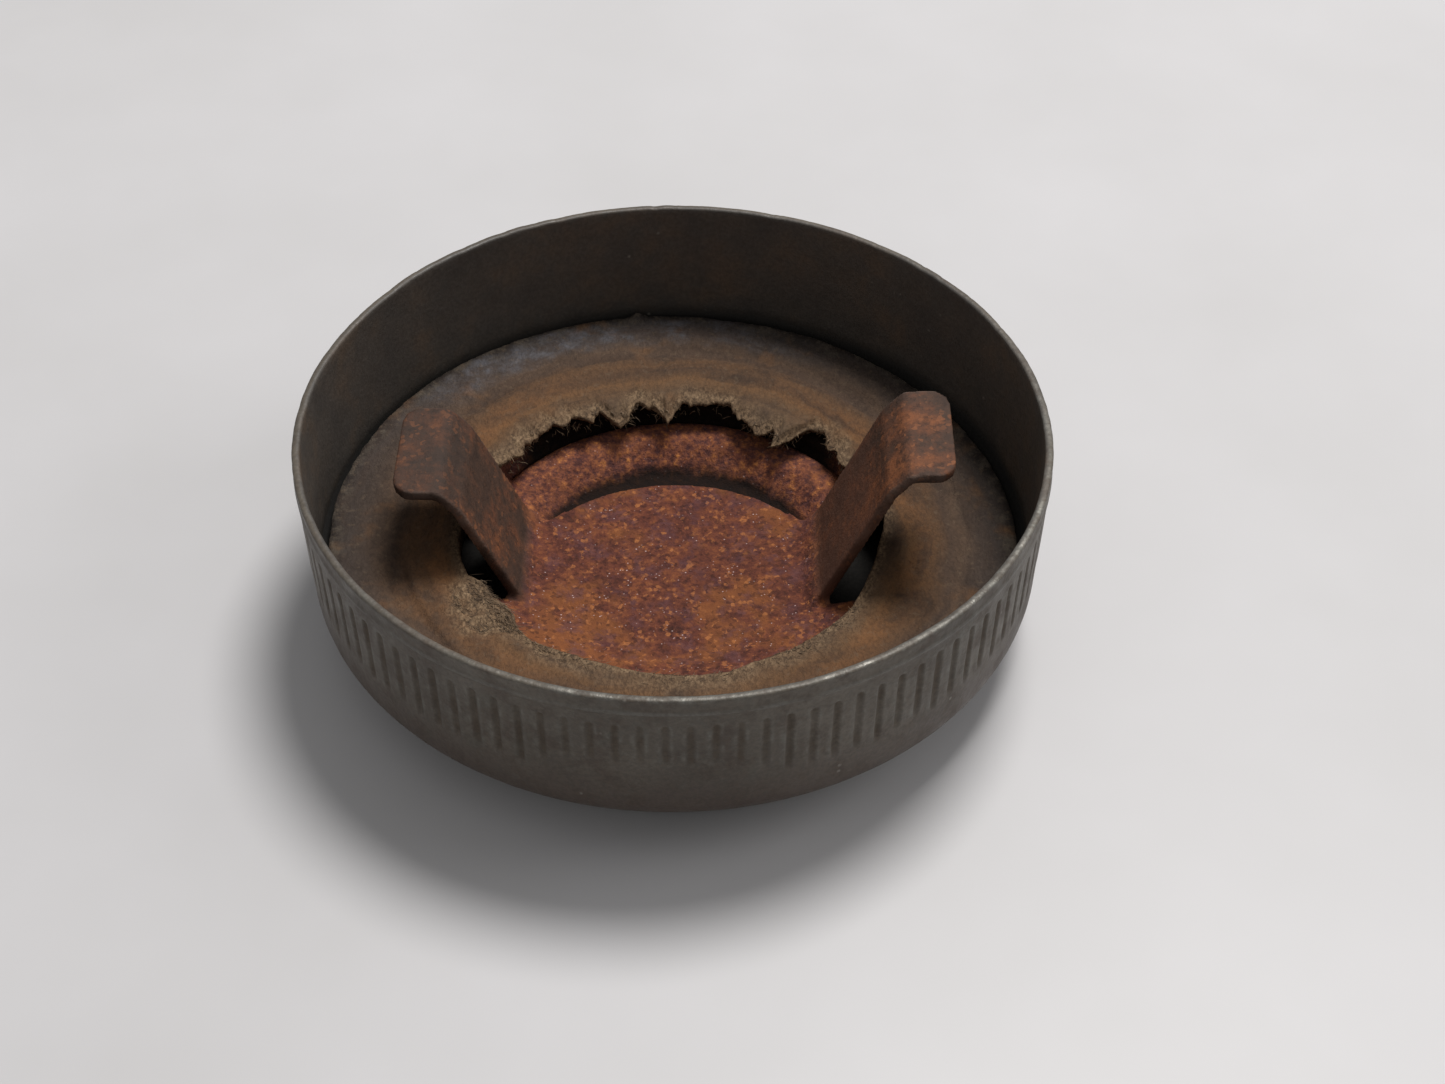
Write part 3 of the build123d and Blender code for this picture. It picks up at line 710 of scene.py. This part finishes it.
def rust_material():
    m = Mat("grained_rust")
    x, y, z = m.xyz()
    xm, ym, zm = (m.math("MULTIPLY", c, 1000.0) for c in (x, y, z))
    r = m.radius()
    ear = m.attr("ear")
    big = m.noise(9, 3, 0.6, seed=1.0)
    mid = m.noise(2.4, 4, 0.65, seed=2.0)
    g = m.noise(0.75, 4, 0.72, seed=4.0)
    tiny = m.noise(0.30, 2, 0.6, seed=5.0)
    cell = m.voronoi(0.46, "F1", out="Color", vec=m.warped(0.9, 0.35))
    cx_, cy_, cz_ = m.xyz(cell)
    f = m.math("ADD", m.math("MULTIPLY", mid, 0.42), m.math("MULTIPLY", g, 0.58))
    base = m.ramp(f, [(0.36, (0.052, 0.020, 0.015)), (0.45, (0.098, 0.032, 0.022)), (0.52, (0.142, 0.046, 0.027)),
                      (0.59, (0.200, 0.066, 0.029)), (0.68, (0.300, 0.112, 0.040))])
    base = m.mix(m.span(m.noise(6.5, 3, 0.6, seed=12.0), 0.48, 0.62, 0, 0.62), base, (0.235, 0.084, 0.027))
    purple = m.ramp(cx_, [(0.0, (0.072, 0.027, 0.030)), (1.0, (0.125, 0.058, 0.062))])
    base = m.mix(m.span(m.noise(3.0, 4, 0.65, seed=6.0), 0.48, 0.62, 0, 0.60), base, purple)
    base = m.mix(m.math("MULTIPLY", m.span(cy_, 0.78, 0.98), m.span(g, 0.42, 0.58, 0.0, 0.70)), base, (0.400, 0.150, 0.052))
    base = m.mix(m.span(cz_, 0.70, 0.98, 0, 0.50), base, (0.036, 0.014, 0.012))
    # pale crystal sparkles: painted glints
    painted_glint = m.span(m.voronoi(0.50, "F1", out="Distance", vec=m.scaled(m.pos, (1.0, 1.1, 1.0))), 0.24, 0.10)
    painted_glint = m.math("MULTIPLY", painted_glint, m.span(m.noise(0.9, 2, 0.6, seed=8.0), 0.54, 0.63))
    painted_glint = m.math("MULTIPLY", painted_glint, m.math("SUBTRACT", 1.0, ear))
    base = m.mix(m.math("MULTIPLY", painted_glint, 0.75), base, (0.62, 0.46, 0.44))
    # the far rib is crusted orange; the groove in front of it and the drop behind it are painted near black as shade,
    # for the shadowed gap at the disc's edge and the shadow under the gasket's overhang
    far = m.math("MULTIPLY", m.span(ym, 5.0, 8.0), m.span(m.math("ABSOLUTE", xm), 19.5, 17.0))
    arc = m.math("SUBTRACT", m.math("SQRT", m.math("ADD", m.math("MULTIPLY", xm, xm), m.math("POWER", m.math("ADD", ym, 5.9), 2.0))), 19.1)
    beyond = m.math("MULTIPLY", far, m.span(arc, 0.0, 0.25))
    ribm = m.math("MULTIPLY", beyond, m.span(m.noise(1.3, 4, 0.75, seed=22.0), 0.42, 0.58, 0.35, 0.90))
    base = m.mix(ribm, base, m.ramp(g, [(0.40, (0.070, 0.029, 0.028)), (0.51, (0.185, 0.066, 0.040)), (0.60, (0.300, 0.110, 0.046)), (0.70, (0.580, 0.230, 0.062))]))
    wob = m.math("MULTIPLY", m.math("SUBTRACT", mid, 0.5), 1.4)
    groove = m.math("MULTIPLY", beyond, m.span(m.math("ADD", zm, wob), 3.1, 2.0))
    under_gasket_shade = m.math("MULTIPLY", far, m.span(r, 22.6, 23.6))
    painted_shade = m.math("MAXIMUM", groove, under_gasket_shade)
    base = m.mix(m.math("MULTIPLY", painted_shade, 0.96), base, (0.006, 0.004, 0.003))
    earf = m.math("ADD", m.math("MULTIPLY", mid, 0.5), m.math("MULTIPLY", big, 0.5))
    earc = m.ramp(earf, [(0.36, (0.038, 0.025, 0.020)), (0.47, (0.064, 0.037, 0.026)), (0.55, (0.105, 0.046, 0.027)), (0.64, (0.190, 0.070, 0.030))])
    earc = m.mix(m.span(g, 0.48, 0.66, 0, 0.60), earc, (0.028, 0.017, 0.013))
    earc = m.mix(m.math("MULTIPLY", m.span(cy_, 0.80, 0.98, 0, 0.6), m.span(big, 0.42, 0.58)), earc, (0.250, 0.095, 0.040))
    earc = m.mix(m.math("MULTIPLY", m.span(tiny, 0.60, 0.74, 0, 0.6), m.span(mid, 0.45, 0.6)), earc, (0.26, 0.11, 0.045))
    # rubbed edges of the ears
    edge = m.math("MULTIPLY", m.span(m.math("ABSOLUTE", ym), 6.55, 6.95), m.span(zm, 9.0, 15.0))
    earc = m.mix(m.math("MULTIPLY", edge, m.span(mid, 0.35, 0.6, 0.1, 0.6)), earc, (0.17, 0.13, 0.11))
    flat = m.span(zm, 16.0, 19.0)
    left = m.span(xm, -10.0, -14.0)
    earc = m.mix(m.math("MULTIPLY", m.math("MULTIPLY", flat, left), 0.45), earc, (0.030, 0.024, 0.021))
    # painted light: the right ear's leg is lightened, where the key light leaves it in its own shadow
    right_leg_painted_light = m.math("MULTIPLY", m.span(xm, 10.0, 14.0), m.span(zm, 19.5, 15.0))
    earc = m.mix(m.math("MULTIPLY", right_leg_painted_light, 0.40), earc, (0.150, 0.068, 0.044))
    col = m.mix(ear, base, earc)
    # roughness, lower on the ears and at the painted glints, and a grain bump, weaker on the ears
    rough = m.math("SUBTRACT", m.math("SUBTRACT", 0.90, m.math("MULTIPLY", ear, 0.20)), m.math("MULTIPLY", painted_glint, 0.5))
    h = m.math("ADD", m.math("MULTIPLY", g, 0.8), m.math("MULTIPLY", tiny, 0.35))
    h = m.math("MULTIPLY", h, m.math("SUBTRACT", 1.0, m.math("MULTIPLY", ear, 0.50)))
    m.set(Base_Color=col, Roughness=rough, Normal=m.bump(h, 0.34, 1.0))
    m.b.inputs["Specular IOR Level"].default_value = 0.18
    return m.m


shell = build_shell()
shell.data.materials.append(shell_material())
gasket = build_gasket()
gasket.data.materials.append(gasket_material())
fibres = build_fibres()
fibres.data.materials.append(fibre_material())
plate = build_plate()
plate.data.materials.append(rust_material())

for ob, slot in ((shell, "shell_steel"), (gasket, "gasket_fibre"), (fibres, "gasket_fibre"), (plate, "rusted_steel")):
    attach(ob, "root")
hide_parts("cap_shell")
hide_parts("gasket")
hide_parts("lock_plate")

# ------------------------------------------------------------------ floor, light, camera
bpy.ops.mesh.primitive_plane_add(size=3.0, location=(0, 0, 0))
floor = bpy.context.object
floor.name = "floor"
fm = Mat("pale_floor")
fm.set(Base_Color=fm.ramp(fm.noise(60, 4, 0.6), [(0.35, (0.525, 0.517, 0.522)), (0.65, (0.560, 0.552, 0.562))]), Roughness=0.42)
fm.b.inputs["Specular IOR Level"].default_value = 0.3
floor.data.materials.append(fm.m)

world = bpy.data.worlds.new("soft_room")
bpy.context.scene.world = world
world.use_nodes = True
bg = world.node_tree.nodes["Background"]
bg.inputs[0].default_value = (1.0, 1.0, 1.0, 1)
bg.inputs[1].default_value = 0.35


def area(name, loc, target, size, power, colour=(1, 1, 1)):
    li = bpy.data.lights.new(name, "AREA")
    li.shape = "DISK"
    li.size = size
    li.energy = power
    li.color = colour
    o = bpy.data.objects.new(name, li)
    bpy.context.scene.collection.objects.link(o)
    o.location = loc
    o.rotation_euler = (Vector(target) - Vector(loc)).to_track_quat("-Z", "Y").to_euler()
    return o


area("key", (0.23, 0.38, 1.02), (0, 0, 0), 0.40, 11.3, (1.0, 0.985, 0.965))
area("side", (0.95, 0.10, 0.62), (0, 0, 0), 0.60, 2.0, (1.0, 0.99, 0.98))

cam = bpy.data.cameras.new("camera")
cam.sensor_width = 36
cam.sensor_fit = "HORIZONTAL"
cam.lens = 2200 * 36 / 1445
cam.clip_start = 0.01
co = bpy.data.objects.new("camera", cam)
bpy.context.scene.collection.objects.link(co)
p, ro = math.radians(43.37), math.radians(0.50)
fwd = Vector((0, math.cos(p), -math.sin(p)))
right = Vector((1, 0, 0))
upv = Vector((0, math.sin(p), math.cos(p)))
r2 = right * math.cos(ro) + upv * math.sin(ro)
u2 = -right * math.sin(ro) + upv * math.cos(ro)
M = Matrix((r2, u2, -fwd)).transposed().to_4x4()
M.translation = Vector((0.00524, -0.17788, 0.17452))
co.matrix_world = M
bpy.context.scene.camera = co
bpy.context.scene.view_settings.view_transform = "Standard"
bpy.context.scene.view_settings.look = "None"
